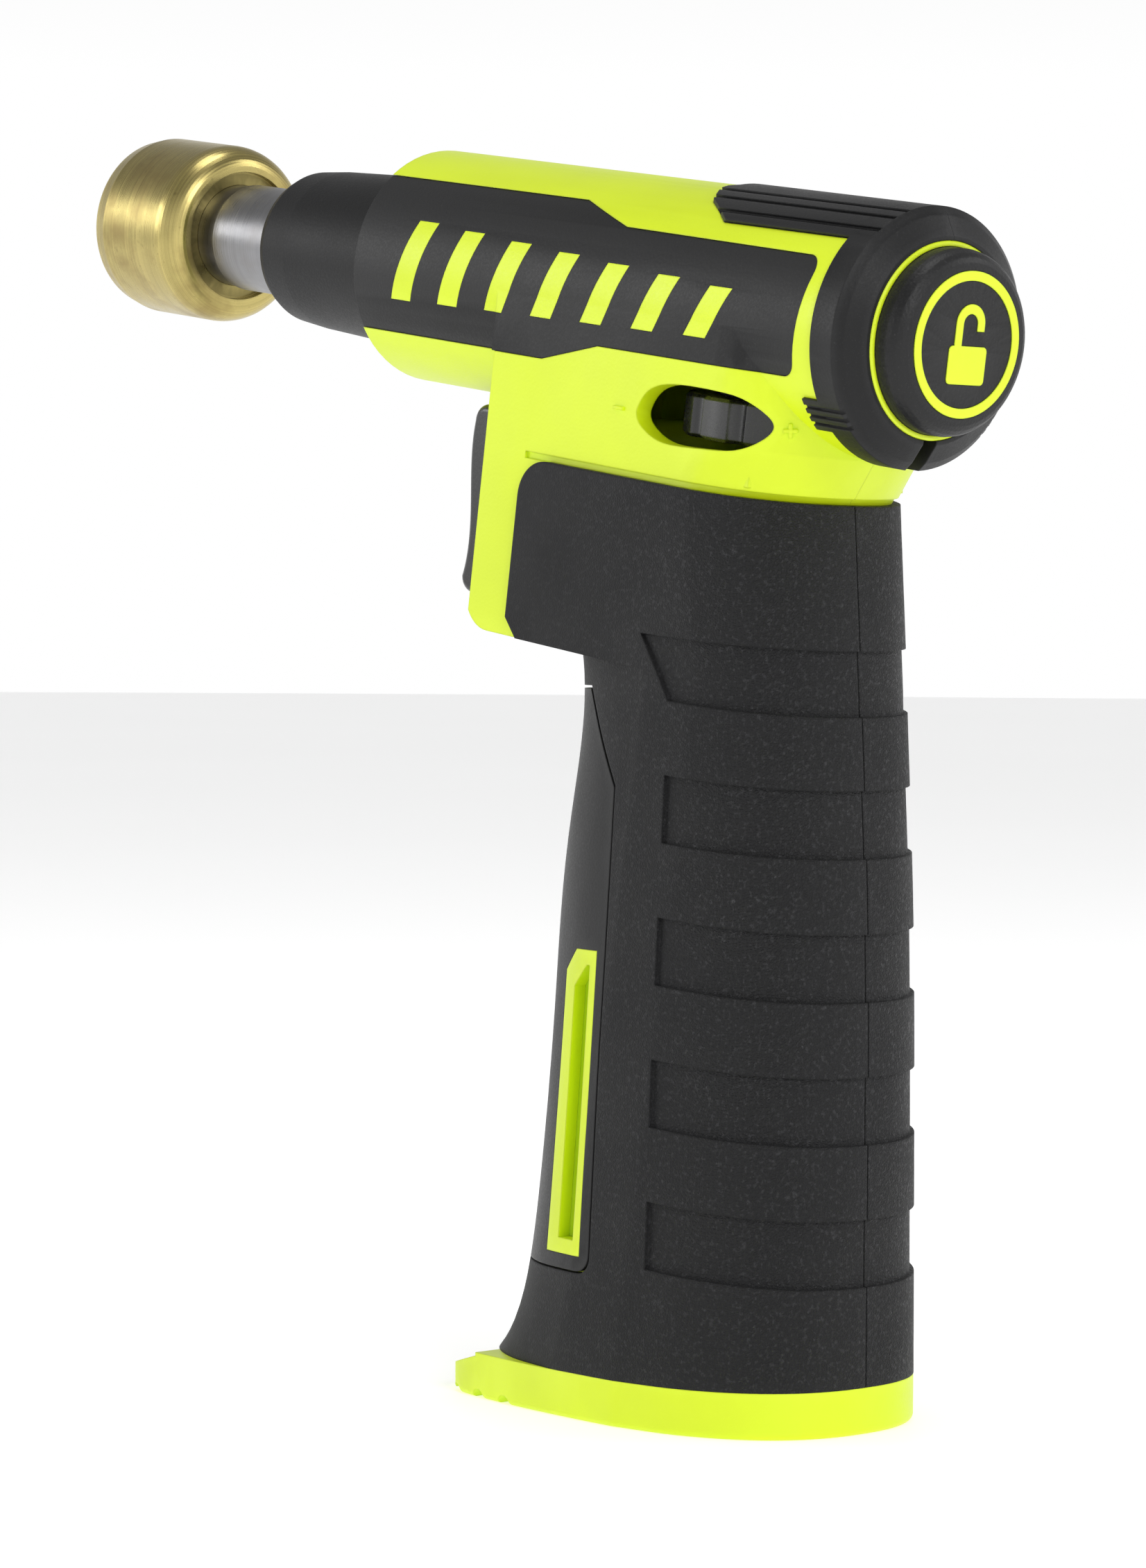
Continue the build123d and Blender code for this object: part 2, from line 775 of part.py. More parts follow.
def housing_parts():
    """Everything that is made together because it shares surfaces."""
    grip, spine, lower_core = grip_and_spine()
    room, frame, sight = sight_parts()
    spine = spine - room
    save_pair("window_frame", frame)
    save_pair("fuel_window", sight)
    save("front_spine", spine + mirror(spine, Plane.XZ))
    save_pair("grip", left_half(grip, seam_gap))

    plan_block, view_block = box_limits()
    neck = (barrel * (neck_form(0) & plan_block))
    low_box = upper_form(grip_proud, box_front) & (barrel * (plan_block & view_block))
    body = (barrel * barrel_form(0)) + neck + low_box + lower_core
    body = body - grip - spine - room
    groove_top = grip_top_u + neck_groove_height
    groove = neck_form(0, grip_top_u, groove_top) - neck_form(neck_groove, grip_top_u, groove_top)
    body = body - (barrel * (groove & block(grip_front, margin, -margin, 0, -margin, 0)))

    # hollow inside
    inset = grip_skin + shell_wall
    bore = left_half(rod(barrel_r - barrel_wall, barrel_front + front_wall, barrel_rear + 1))
    mouth = left_half(rod(nose_rear_r + press_gap, barrel_front - 1, barrel_front + front_wall + 1))
    throat = neck_form(handle_half_top - grip_proud - (handle_half_top - inset))
    pocket = left_half(Pos(wheel_s, 0, wheel_low - wheel_bore_gap) * extrude(
        Circle(wheel_r + wheel_bore_gap), wheel_high - wheel_low + 2 * wheel_bore_gap))
    slot = block(box_front - 1, box_front + 4, -(trigger_half + trigger_gap), 0,
                 trigger_low - trigger_gap, trigger_top + trigger_gap)
    upper_room = upper_form(inset, box_front + barrel_wall, low=barrel_wall)
    low_room = handle_form(inset, low=base_top + floor_thickness)
    join = oval(barrel_level(box_bottom), grip_rear_low - handle_back_top, handle_back_top - inset,
                handle_half_top - inset, front_reach_top - inset)
    low_room = low_room + extrude(join, barrel_wall + 0.5, dir=barrel_plane.z_dir)
    body = body - (barrel * (bore + mouth + throat)) - (barrel * pocket) - (barrel * slot)
    body = body - upper_room - low_room
    body = body - (barrel * port_block())

    # side panel, rail and groove seats
    panel, mark, plate = side_panel_parts()
    seat = (flank(0) & panel_region(panel_gap)) - flank(panel_skin)
    seat = seat + ((flank(panel_skin) & plate) - flank(panel_skin + mark_backing))
    rail_seat = tube_sector(rail_floor - 0.03, barrel_r + 2, rail_front - 1, cowl_front, 0, rail_angle + 0.4)
    rail_seat = rail_seat - rail_tip_cut()
    body = body - (barrel * seat) - (barrel * rail_seat)
    save_pair("side_panel", barrel * panel)
    save_pair("panel_mark", barrel * mark)
    save_pair("cowl", barrel * collar())
    save_housing(body)


# ================================================================ burner line
def burner_parts():
    inner = cup_r - cup_wall
    hole = tube_neck_r + press_gap
    rounded = []
    for i in range(shoulder_steps + 1):
        turn = i / shoulder_steps * pi / 2
        rounded.append((cup_rear - cup_shoulder * (1 - sin(turn)),
                        cup_recess_r + 0.4 + (cup_r - cup_recess_r - 0.4) * cos(turn)))
    cup = turned(
        (cup_front, inner - 0.2), (cup_front, cup_r - cup_lip), (cup_front + cup_lip_length, cup_r),
        *rounded, (cup_rear, cup_recess_r), (cup_rear - cup_recess, cup_recess_r),
        (cup_rear - cup_recess, hole), (cup_rear - cup_floor, hole),
        (cup_rear - cup_floor, inner - 2.0), (cup_rear - cup_floor - 2.0, inner),
    )
    save("burner_cup", barrel * cup)

    tube = turned(
        (tube_front, tube_neck_r - tube_wall), (tube_front, tube_neck_r), (tube_neck_rear, tube_neck_r),
        (tube_neck_rear + 0.5, tube_r), (tube_rear, tube_r), (tube_rear, tube_neck_r - tube_wall),
    )
    save("burner_tube", barrel * tube)

    holder_r = tube_neck_r - tube_wall - press_gap
    holder = rod(holder_r, tube_front + 0.3, tube_front + 0.3 + holder_thickness)
    rings = [(0.0, 1), (2.6, 6), (5.3, 12)]
    for radius, count in rings:
        for i in range(count):
            turn = 2 * pi * i / count + 0.26
            y, u = radius * cos(turn), radius * sin(turn)
            if (y - electrode_y) ** 2 + (u - electrode_u) ** 2 > (electrode_r + 2 * holder_hole_r) ** 2:
                holder = holder - rod(holder_hole_r, tube_front - 1, tube_front + 6, y, u)
    holder = holder - rod(electrode_r + press_gap, tube_front - 1, tube_front + 6, electrode_y, electrode_u)
    save("flame_holder", barrel * holder)

    bore = tube_r + press_gap
    nose = turned(
        (nose_front, bore), (nose_front, nose_front_r - nose_fillet),
        (nose_front + 0.6, nose_front_r - 0.6), (nose_front + nose_fillet, nose_front_r),
        (nose_front + 8, nose_front_r + 0.5), (barrel_front, nose_rear_r),
        (barrel_front + front_wall + 0.05, nose_rear_r), (barrel_front + front_wall + 0.05, nose_flange_r),
        (barrel_front + front_wall + nose_flange, nose_flange_r),
        (barrel_front + front_wall + nose_flange, nose_inner_r),
        (tube_rear + 1, nose_inner_r), (tube_rear + 1, bore),
    )
    save("nose_sleeve", barrel * nose)

    jet = rod(jet_r, tube_rear - 0.6, tube_rear - 0.6 + jet_length)
    collar_ring = rod(tube_neck_r - tube_wall - press_gap, tube_rear - 7, tube_rear - 0.6)
    jet = jet + collar_ring - rod(feed_r + press_gap, tube_rear + 4, tube_rear + 20)
    jet = jet - rod(0.5, tube_rear - 10, tube_rear + 6)
    channel = rod(insulator_r + press_gap, tube_rear - 10, tube_rear + 20, electrode_y, electrode_u)
    save("jet_holder", barrel * (jet - channel))
    save("gas_feed_tube", barrel * (rod(feed_r, tube_rear + 4, valve_front) -
                                    rod(feed_r - 0.6, tube_rear + 3, valve_front + 1)))

    insulator = rod(insulator_r, tube_front + 6, tube_rear + 18, electrode_y, electrode_u)
    insulator = insulator - rod(electrode_r, tube_front, tube_rear + 12, electrode_y, electrode_u)
    save("electrode_insulator", barrel * insulator)
    save("electrode", barrel * rod(electrode_r, electrode_tip, tube_rear + 12, electrode_y, electrode_u))
    beside = igniter_r + wire_r + 0.05
    wire = FilletPolyline(
        (tube_rear + 18, electrode_y, electrode_u), (-72, -5.0, -4.0), (-42, -9.0, -9.0),
        (-37.5, -10.0, -22.0), (-33.0, -beside, igniter_u + 2), (-24.0, -beside, igniter_u),
        radius=8)
    profile = Plane(origin=wire @ 0, z_dir=wire % 0) * Circle(wire_r)
    save("ignition_wire", barrel * sweep(profile, path=wire))


# ================================================================ lock button
def padlock_view():
    """An open padlock, drawn in (y, u) about the barrel's axis."""
    centre = lock_centre_y
    low = lock_centre_u - lock_body_height / 2
    high = lock_centre_u + lock_body_height / 2
    body = Pos(centre, lock_centre_u) * RectangleRounded(lock_body_width, lock_body_height, 0.7)
    outer = shackle_width / 2
    arch = high + shackle_rise - outer
    inner = outer - shackle_stroke
    bow = Pos(centre, arch) * (Circle(outer) - Circle(inner))
    bow = bow & (Pos(centre, arch + outer / 2) * Rectangle(shackle_width + 1, outer))
    reach = arch - low - 1
    leg = Pos(centre - outer + shackle_stroke / 2, arch - reach / 2) * Rectangle(shackle_stroke, reach)
    short = arch - high - shackle_short
    end = Pos(centre + outer - shackle_stroke / 2, arch - short / 2) * Rectangle(shackle_stroke, short)
    return body + bow + leg + end


def lock_parts():
    ring = turned((bezel_front, bezel_r - bezel_wall), (bezel_front, bezel_r),
                  (bezel_rear - 0.3, bezel_r), (bezel_rear, bezel_r - 0.3),
                  (bezel_rear, bezel_r - bezel_wall))
    save("bezel_ring", barrel * ring)

    button_r = bezel_r - bezel_wall - button_gap
    steps = 5
    rounded = []
    drop = button_r - button_face_r
    for i in range(steps + 1):
        turn = i / steps * pi / 2
        rounded.append((button_face - button_fillet * (1 - sin(pi / 2 - turn)) * 1.0,
                        button_face_r + drop * sin(turn)))
    rounded.reverse()
    button = turned(
        (button_front + 8, 0), (button_front + 8, button_r - 2.2), (button_front, button_r - 2.2),
        (button_front, button_r), *rounded, (button_face, 0))
    button = button + rod(button_stem_r, button_stem_front, button_front + 8.5)
    annulus = rod(emblem_r, button_face - emblem_depth, button_face + emblem_proud)
    annulus = annulus - rod(emblem_inner, button_face - 1, button_face + 1)
    padlock = Pos(button_face - emblem_depth, 0, 0) * extrude(
        Plane.YZ * padlock_view(), emblem_depth + emblem_proud)
    button = button - annulus - padlock
    save("lock_button", barrel * button)
    save("emblem_ring", barrel * annulus)
    save("emblem_padlock", barrel * padlock)

    guide = rod(barrel_r - barrel_wall - press_gap, guide_front, guide_rear)
    guide = guide - rod(button_stem_r + stem_gap, guide_front - 1, guide_rear + 1)
    guide = guide & block(guide_front - 1, guide_rear + 1, -margin, margin, guide_low, margin)
    save("lock_guide", barrel * guide)
    spring_length = button_front + 8 - button_travel - 0.4 - guide_rear
    save("lock_spring", barrel * (Pos(guide_rear + 0.1, 0, 0) * coil(lock_spring_r, spring_length - 0.2)))


def coil(radius, length):
    """A helical spring along s, starting at s = 0."""
    turns_room = length - 2 * spring_wire
    path = Helix(pitch=turns_room / spring_turns, height=turns_room, radius=radius)
    profile = Plane(origin=path @ 0, z_dir=path % 0) * Circle(spring_wire)
    spring = sweep(profile, path=path, is_frenet=True)
    return Pos(spring_wire, 0, 0) * (Rot(Y=90) * spring)


# ================================================================ flame wheel and regulator
def wheel_parts():
    height = wheel_high - wheel_low
    face = Circle(wheel_r)
    for i in range(wheel_lobes):
        turn = 2 * pi * (i + 0.5) / wheel_lobes
        away = wheel_r + wheel_scallop_out
        face = face - Pos(away * cos(turn), away * sin(turn)) * Circle(wheel_scallop_r)
    wheel = extrude(face, height)
    rims = wheel.faces().filter_by(Axis.Z).edges()
    wheel = chamfer(rims, wheel_edge)
    dish = extrude(Circle(wheel_r - 4.2) - Circle(spindle_flange_r + 1.2), 1.2)
    wheel = wheel - dish - Pos(0, 0, height - 1.2) * dish
    wheel = wheel - extrude(Circle(spindle_r + press_gap), height)
    place = Pos(wheel_s, 0, wheel_low)
    save("flame_wheel", barrel * (place * wheel))
    spindle = Pos(wheel_s, 0, spindle_low) * extrude(Circle(spindle_r), spindle_high - spindle_low)
    save("regulator_spindle", barrel * spindle)

    valve = block(valve_front, valve_rear, -valve_half, valve_half, valve_low, valve_high)
    valve = chamfer(valve.edges().filter_by(Axis.X), 1.5)
    valve = valve - Pos(wheel_s, 0, valve_low - 1) * extrude(
        Circle(spindle_r + spindle_gap), spindle_high - valve_low + 1.4)
    valve = valve - rod(feed_r - 0.6, valve_front - 1, valve_front + 6)
    save("valve_body", barrel * valve)


# ================================================================ trigger, igniter and valve slide
def trigger_parts():
    face = make_face([
        Spline([(trigger_nose + 0.2, trigger_top - trigger_corner),
                (trigger_nose, trigger_top - trigger_corner - 2.0),
                (trigger_waist, (trigger_top + trigger_low) / 2 - 4),
                (trigger_foot, trigger_low + 2.4)]),
        ThreePointArc((trigger_foot, trigger_low + 2.4), (trigger_foot + 0.9, trigger_low + 0.6),
                      (trigger_foot + 2.6, trigger_low)),
        Line((trigger_foot + 2.6, trigger_low), (trigger_back, trigger_low)),
        Line((trigger_back, trigger_low), (trigger_back, trigger_top)),
        Line((trigger_back, trigger_top), (trigger_nose + 0.2 + trigger_corner, trigger_top)),
        ThreePointArc((trigger_nose + 0.2 + trigger_corner, trigger_top),
                      (trigger_nose + 0.2 + trigger_corner * 0.29, trigger_top - trigger_corner * 0.29),
                      (trigger_nose + 0.2, trigger_top - trigger_corner)),
    ])
    trigger = prism(face, -trigger_half, trigger_half)
    long_edges = [e for e in trigger.edges()
                  if abs(abs(e.center().Y) - trigger_half) < 0.01 and e.center().X < trigger_back - 1]
    trigger = fillet(long_edges, trigger_edge)
    inner = box_front + grip_skin + shell_wall - grip_proud + 0.15
    trigger = trigger + block(inner, trigger_back, -(trigger_half + 2.2), trigger_half + 2.2,
                              trigger_low - 0.5, trigger_top)
    trigger = trigger - rod(plunger_r + press_gap, trigger_back - plunger_in, trigger_back + 1, u=igniter_u)
    trigger = trigger - block(trigger_back - slide_in, trigger_back + 1,
                              -slide_half - press_gap, slide_half + press_gap,
                              slide_low - press_gap, slide_high + press_gap)
    save("trigger", barrel * trigger)

    plunger_end = igniter_front + trigger_travel + plunger_in
    plunger = rod(plunger_r, trigger_back - plunger_in, igniter_front + plunger_in, u=igniter_u)
    save("piezo_plunger", barrel * plunger)
    case = rod(igniter_r, igniter_front, igniter_rear, u=igniter_u)
    case = case - rod(plunger_r + plunger_gap, igniter_front - 1, plunger_end + 0.5, u=igniter_u)
    save("piezo_body", barrel * case)
    length = igniter_front - trigger_back - trigger_travel - 0.3
    spring = coil(trigger_spring_r, length)
    save("trigger_spring", barrel * (Pos(igniter_front - length - 0.1, 0, igniter_u) * spring))

    meet_s, meet_u, slope = ramp_line()
    low_end = meet_s + (slide_low - meet_u) / slope
    rear_u = meet_u + slope * (slide_rear - meet_s)
    view = outline((trigger_back - slide_in, slide_low), (low_end, slide_low), (slide_rear, rear_u),
                   (slide_rear, slide_high), (trigger_back - slide_in, slide_high))
    save("gas_slide", barrel * prism(view, -slide_half, slide_half))


def ramp_line():
    """Where the ramp meets the valve's axis and how steeply it climbs, in the barrel frame.

    The slope presses the stem by its full travel over the trigger's full travel.
    """
    lift, run = sin(radians(barrel_tilt)), cos(radians(barrel_tilt))
    share = outlet_travel / trigger_travel
    slope = share * run / (1 - share * lift)
    across = tank_neck_x - barrel_x
    height = (ramp_meets_u - across * lift) / run
    return across * run - height * lift, ramp_meets_u, slope


def stem_tip():
    """Height of the centre of the stem's domed end, just clear of the ramp."""
    slope = ramp_line()[2]
    lean = atan(slope) - radians(barrel_tilt)
    height = (ramp_meets_u - (tank_neck_x - barrel_x) * sin(radians(barrel_tilt))) / cos(radians(barrel_tilt))
    return barrel_z + height - (outlet_stem_r + ramp_play) / cos(lean)


# ================================================================ tank and valves
def tank_form(inset, low, high):
    """Left half of a tapered vessel inside the handle."""
    return handle_form(inset) & block(-margin, margin, -margin, 0, low, high)


def tank_parts():
    inset = grip_skin + shell_wall + tank_clear
    tank_low = base_top + floor_thickness
    outer = tank_form(inset, tank_low, tank_high)
    hollow = tank_form(inset + tank_wall, tank_low + tank_wall, tank_high - tank_wall)
    half = outer - hollow
    tank = half + mirror(half, Plane.XZ)
    tank = tank + upright(tank_neck_r, tank_high - 0.5, tank_neck_high, tank_neck_x)
    tank = tank - upright(outlet_r + press_gap, tank_high - 6, tank_neck_high + 1, tank_neck_x)
    tank = tank - upright(filler_r + press_gap, tank_low - 1, tank_low + tank_wall + 1, filler_x)
    save("fuel_tank", tank)

    outlet = upright(outlet_r, tank_high - 4, outlet_high, tank_neck_x)
    outlet = outlet - upright(outlet_stem_r + 0.05, tank_high + 2, outlet_high + 1, tank_neck_x)
    save("tank_valve_body", outlet)
    stem_low = tank_high + 2 + outlet_travel + 0.4
    tip = stem_tip()
    stem = upright(outlet_stem_r, stem_low, tip, tank_neck_x)
    save("tank_valve_stem", stem + Pos(tank_neck_x, 0, tip) * Sphere(outlet_stem_r))

    filler = upright(filler_r, filler_low, filler_high, filler_x)
    filler = filler - upright(filler_stem_r + 0.05, filler_low - 1, filler_high - 3, filler_x)
    save("fill_valve_body", filler)
    save("fill_valve_stem", upright(filler_stem_r, filler_stem_low, filler_high - 3 - filler_travel - 0.3,
                                    filler_x))
    ring = revolve(Plane.XZ * (Pos(filler_r - 1.1, 0) * Circle(seal_wire / 2)), Axis.Z)
    save("fill_valve_seal", Pos(filler_x, 0, filler_low - seal_wire / 2) * ring)

    beside = outlet_r + gas_tube_r + 0.05
    route = FilletPolyline(
        (tank_neck_x, beside, outlet_high - 9), (tank_neck_x - 5, 9.0, outlet_high - 4),
        (0.5, 9.4, 108), (2.0, 9.4, 140), (7.0, valve_half + gas_tube_r + 0.05, 150.0),
        (12.0, valve_half + gas_tube_r + 0.05, 150.7), radius=5)
    profile = Plane(origin=route @ 0, z_dir=route % 0) * Circle(gas_tube_r)
    save("gas_tube", sweep(profile, path=route))


# ================================================================ base
def base_parts():
    middle = handle_rear_x - base_back
    rear = round_corner(middle, base_back, base_half)
    corner = Vector(lip_corner_x, -lip_corner_y)
    side = Spline([(middle, -base_half), (middle - 16, -base_half + 0.55), (-22.0, -base_half + 1.45),
                   (lip_corner_x + 2.0, -lip_corner_y - 0.6)], tangents=[(-1, 0), (-1, 0.42)])
    round_off = Spline([(lip_corner_x + 2.0, -lip_corner_y - 0.6), (lip_corner_x, -lip_corner_y + 1.6),
                        (lip_corner_x - 0.8, -lip_corner_y + 4.6)], tangents=[(-1, 0.42), (-0.12, 1)])
    nose = Spline([(lip_corner_x - 0.8, -lip_corner_y + 4.6), (base_front_x, 0)],
                  tangents=[(-0.12, 1), (0, 1)])
    closing = Line((base_front_x, 0), (handle_rear_x, 0))
    half = extrude(make_face([rear, side, round_off, nose, closing]), base_top)
    foot = half + mirror(half, Plane.XZ)
    bottom = foot.faces().sort_by(Axis.Z)[0].edges()
    foot = fillet(bottom, base_edge)
    far = base_front_x - 5
    fall = (base_top - 0.5 - lip_tip_top) / (lip_start_x - base_front_x)
    top_cut = outline((far, base_top + 5), (far, lip_tip_top - 5 * fall),
                      (lip_start_x, base_top - 0.5), (lip_start_x, base_top + 5))
    rise = lip_tip_low / (lip_low_start_x - base_front_x)
    low_cut = outline((far, -5), (far, lip_tip_low + 5 * rise), (lip_low_start_x, 0), (lip_low_start_x, -5))
    foot = foot - prism(top_cut, -margin, margin) - prism(low_cut, -margin, margin)
    for i in range(rib_count):
        notch = Pos(rib_first_x + i * rib_pitch, rib_notch_depth - rib_notch_r) * Circle(rib_notch_r)
        foot = foot - prism(notch, -margin, margin)
    foot = foot - upright(base_hole_r, -1, base_top + 1, filler_x)
    for x in latch_places:
        foot = foot + block(x - latch_size / 2, x + latch_size / 2, -latch_size, latch_size,
                            base_top - 1, base_top + latch_height)
    save("base_foot", foot)


def main():
    housing_parts()
    screw_parts()
    burner_parts()
    lock_parts()
    wheel_parts()
    trigger_parts()
    tank_parts()
    base_parts()


if __name__ == "__main__":
    main()
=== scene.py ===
"""Pistol-grip gas torch: finishes, small moulded details, a pale studio and the camera."""

from math import cos, radians, sin

import bpy
from mathutils import Matrix, Vector


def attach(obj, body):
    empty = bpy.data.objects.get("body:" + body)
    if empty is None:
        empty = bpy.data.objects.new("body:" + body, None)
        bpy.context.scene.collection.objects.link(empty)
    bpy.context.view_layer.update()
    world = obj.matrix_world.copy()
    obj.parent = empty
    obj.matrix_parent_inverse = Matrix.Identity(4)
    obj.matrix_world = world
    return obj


bl_info = {
    "name": "Gas torch",
    "version": (1, 0, 0),
    "blender": (4, 5, 0),
    "location": "3D View > Sidebar > Torch",
    "description": "Finishes and details of a pistol-grip gas torch, with its studio",
    "category": "Object",
}

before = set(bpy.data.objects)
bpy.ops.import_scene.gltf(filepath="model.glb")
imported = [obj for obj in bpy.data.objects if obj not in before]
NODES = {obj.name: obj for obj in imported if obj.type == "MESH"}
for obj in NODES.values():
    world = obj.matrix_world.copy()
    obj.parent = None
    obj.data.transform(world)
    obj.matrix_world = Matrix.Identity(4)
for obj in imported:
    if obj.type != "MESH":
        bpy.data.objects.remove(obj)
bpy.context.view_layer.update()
MM = 0.001

# The barrel's frame: s runs rearward along its axis, u up from it.
BARREL_TILT = radians(8.6)
BARREL_ORIGIN = Vector((0.038, 0.0, 0.1553))
ALONG = Vector((cos(BARREL_TILT), 0.0, -sin(BARREL_TILT)))
ABOVE = Vector((sin(BARREL_TILT), 0.0, cos(BARREL_TILT)))


def barrel_point(s, y, u):
    """A place given in millimetres in the barrel's frame, in metres in the part's frame."""
    return BARREL_ORIGIN + ALONG * (s * MM) + ABOVE * (u * MM) + Vector((0, y * MM, 0))


# ------------------------------------------------------------------ settings
def colour(name, text, value):
    return bpy.props.FloatVectorProperty(
        name=name, description=text, subtype="COLOR", size=4, min=0, max=1, default=(*value, 1)
    )


def length(name, text, value):
    return bpy.props.FloatProperty(
        name=name, description=text, subtype="DISTANCE", unit="LENGTH", default=value
    )


def share(name, text, value):
    return bpy.props.FloatProperty(
        name=name, description=text, subtype="FACTOR", min=0, max=1, default=value
    )


class TorchColours(bpy.types.PropertyGroup):
    yellow: colour("Yellow", "Moulded housing and ornaments", (0.68, 0.84, 0.003))
    grip: colour("Grip", "Soft overmould of the handle", (0.0065, 0.0065, 0.0072))
    black: colour("Black", "Hard black mouldings", (0.0055, 0.0055, 0.006))
    gloss: colour("Gloss black", "Trigger and flame wheel", (0.004, 0.004, 0.0044))
    button: colour("Button", "Rear lock button", (0.006, 0.006, 0.0064))
    window: colour("Window", "Tinted strip of the sight window", (0.46, 0.66, 0.01))
    brass: colour("Brass", "Burner cup and valves", (0.52, 0.43, 0.16))
    tarnish: colour("Tarnish", "Spots and rings on the brass", (0.24, 0.16, 0.06))
    steel: colour("Steel", "Burner tube and screws", (0.27, 0.27, 0.28))
    inner: colour("Inner plastic", "Hidden white mouldings", (0.55, 0.55, 0.5))
    tank: colour("Tank plastic", "Gas tank and gas tube", (0.36, 0.38, 0.37))
    ceramic: colour("Ceramic", "Insulator of the electrode", (0.8, 0.78, 0.73))


class TorchSizes(bpy.types.PropertyGroup):
    spark_cell: length("Spark cell", "Width of one cell of the moulds' spark texture", 0.00032)
    leather_cell: length("Leather cell", "Width of one cell of the grip's grain", 0.00046)
    brush_line: length("Brush line", "Width of one turning mark on the metals", 0.00016)
    soft_edge: length("Soft edge", "Radius of moulded edges", 0.00035)
    sign_height: length("Sign height", "How far the plus and minus signs stand out", 0.0004)
    sign_length: length("Sign length", "Length of a bar of the plus and minus signs", 0.0021)
    # Painted highlight: this setting lightens the colour along sharp outer edges.
    edge_highlight: share("Wear", "How much the edges are rubbed", 0.35)


class TorchStudio(bpy.types.PropertyGroup):
    floor_size: length("Floor", "Half width of the floor", 3.0)
    floor_tone: colour("Floor tone", "Pale floor", (0.93, 0.93, 0.93))
    sky: share("Ambient light", "Strength of the white surroundings overhead", 0.34)
    floor_glow: share("Floor glow", "Light given off by the floor, so that it stays nearly white", 0.42)


# ------------------------------------------------------------------ material building
class Finish:
    """Builds one procedural material on Object coordinates."""

    def __init__(self, name):
        self.material = bpy.data.materials.new(name)
        self.material.use_nodes = True
        self.tree = self.material.node_tree
        self.shader = self.tree.nodes["Principled BSDF"]
        self.place = self.tree.nodes.new("ShaderNodeTexCoord").outputs["Object"]

    def node(self, kind, **values):
        made = self.tree.nodes.new(kind)
        for key, value in values.items():
            setattr(made, key, value)
        return made

    def link(self, source, target):
        self.tree.links.new(source, target)

    def mapped(self, scale=(1, 1, 1), turn=(0, 0, 0), shift=(0, 0, 0)):
        mapping = self.node("ShaderNodeMapping", vector_type="TEXTURE")
        mapping.inputs["Location"].default_value = shift
        mapping.inputs["Rotation"].default_value = turn
        self.link(self.place, mapping.inputs["Vector"])
        stretch = self.node("ShaderNodeVectorMath", operation="MULTIPLY")
        self.link(mapping.outputs["Vector"], stretch.inputs[0])
        stretch.inputs[1].default_value = scale
        return stretch.outputs["Vector"]

    def along_barrel(self, scale=(1, 1, 1)):
        """Coordinates with x along the barrel's axis, y across and z up from it."""
        return self.mapped(scale, (0, BARREL_TILT, 0), tuple(BARREL_ORIGIN))

    def noise(self, scale, detail=4.0, rough=0.5, where=None):
        made = self.node("ShaderNodeTexNoise")
        made.inputs["Scale"].default_value = scale
        made.inputs["Detail"].default_value = detail
        made.inputs["Roughness"].default_value = rough
        self.link(where or self.place, made.inputs["Vector"])
        return made.outputs["Fac"]

    def cells(self, scale, feature="F1", where=None):
        made = self.node("ShaderNodeTexVoronoi", feature=feature)
        made.inputs["Scale"].default_value = scale
        self.link(where or self.place, made.inputs["Vector"])
        return made.outputs["Distance"]

    def remap(self, value, low, high, out_low, out_high):
        made = self.node("ShaderNodeMapRange")
        limits = (("From Min", low), ("From Max", high), ("To Min", out_low), ("To Max", out_high))
        for slot, number in limits:
            made.inputs[slot].default_value = number
        self.link(value, made.inputs["Value"])
        return made.outputs["Result"]

    def maths(self, operation, first, second):
        made = self.node("ShaderNodeMath", operation=operation)
        for socket, value in zip(made.inputs, (first, second)):
            if isinstance(value, (int, float)):
                socket.default_value = value
            else:
                self.link(value, socket)
        return made.outputs["Value"]

    def mix(self, factor, first, second):
        made = self.node("ShaderNodeMix", data_type="RGBA")
        self.link(factor, made.inputs["Factor"])
        for socket, value in ((made.inputs["A"], first), (made.inputs["B"], second)):
            if hasattr(value, "links"):
                self.link(value, socket)
            else:
                socket.default_value = tuple(value)
        return made.outputs["Result"]

    def edges(self, low=0.52, high=0.60):
        """1 along sharp outer edges, 0 elsewhere."""
        geometry = self.node("ShaderNodeNewGeometry")
        return self.remap(geometry.outputs["Pointiness"], low, high, 0.0, 1.0)

    def axis_value(self, axis, where=None):
        split = self.node("ShaderNodeSeparateXYZ")
        self.link(where or self.place, split.inputs[0])
        return split.outputs[axis]

    def soft(self, radius):
        rounded = self.node("ShaderNodeBevel")
        rounded.samples = 4
        rounded.inputs["Radius"].default_value = radius
        return rounded.outputs["Normal"]

    def bump(self, height, strength, distance, normal=None):
        made = self.node("ShaderNodeBump")
        made.inputs["Distance"].default_value = distance
        if hasattr(strength, "links"):
            self.link(strength, made.inputs["Strength"])
        else:
            made.inputs["Strength"].default_value = strength
        self.link(height, made.inputs["Height"])
        if normal is not None:
            self.link(normal, made.inputs["Normal"])
        return made.outputs["Normal"]

    def done(self, base, rough, normal, **constants):
        self.link(base, self.shader.inputs["Base Color"])
        self.link(rough, self.shader.inputs["Roughness"])
        self.link(normal, self.shader.inputs["Normal"])
        for name, value in constants.items():
            self.shader.inputs[name.replace("_", " ")].default_value = value
        return self.material


# Where finishes change over, in metres in the part's or the barrel's frame.
GRAIN_AND_SHEEN_FRONT, GRAIN_AND_SHEEN_REAR = -0.012, 0.030       # the grip's grain and its painted sheen of light specks grow stronger towards the rear
HEAT_FRONT, HEAT_REAR = -0.158, -0.149        # heat colour fades out behind the burner's front
RECESS_R, RECESS_RIM_R = 0.0100, 0.0106       # the turned recess in the back of the cup, where the colour is darkened as painted shade
HEAT_COLOUR = (0.16, 0.10, 0.12, 1.0)
STEEL_SPOT = (0.2, 0.17, 0.13, 1)
BRIGHT_SPOT = (0.15, 0.13, 0.1, 1)


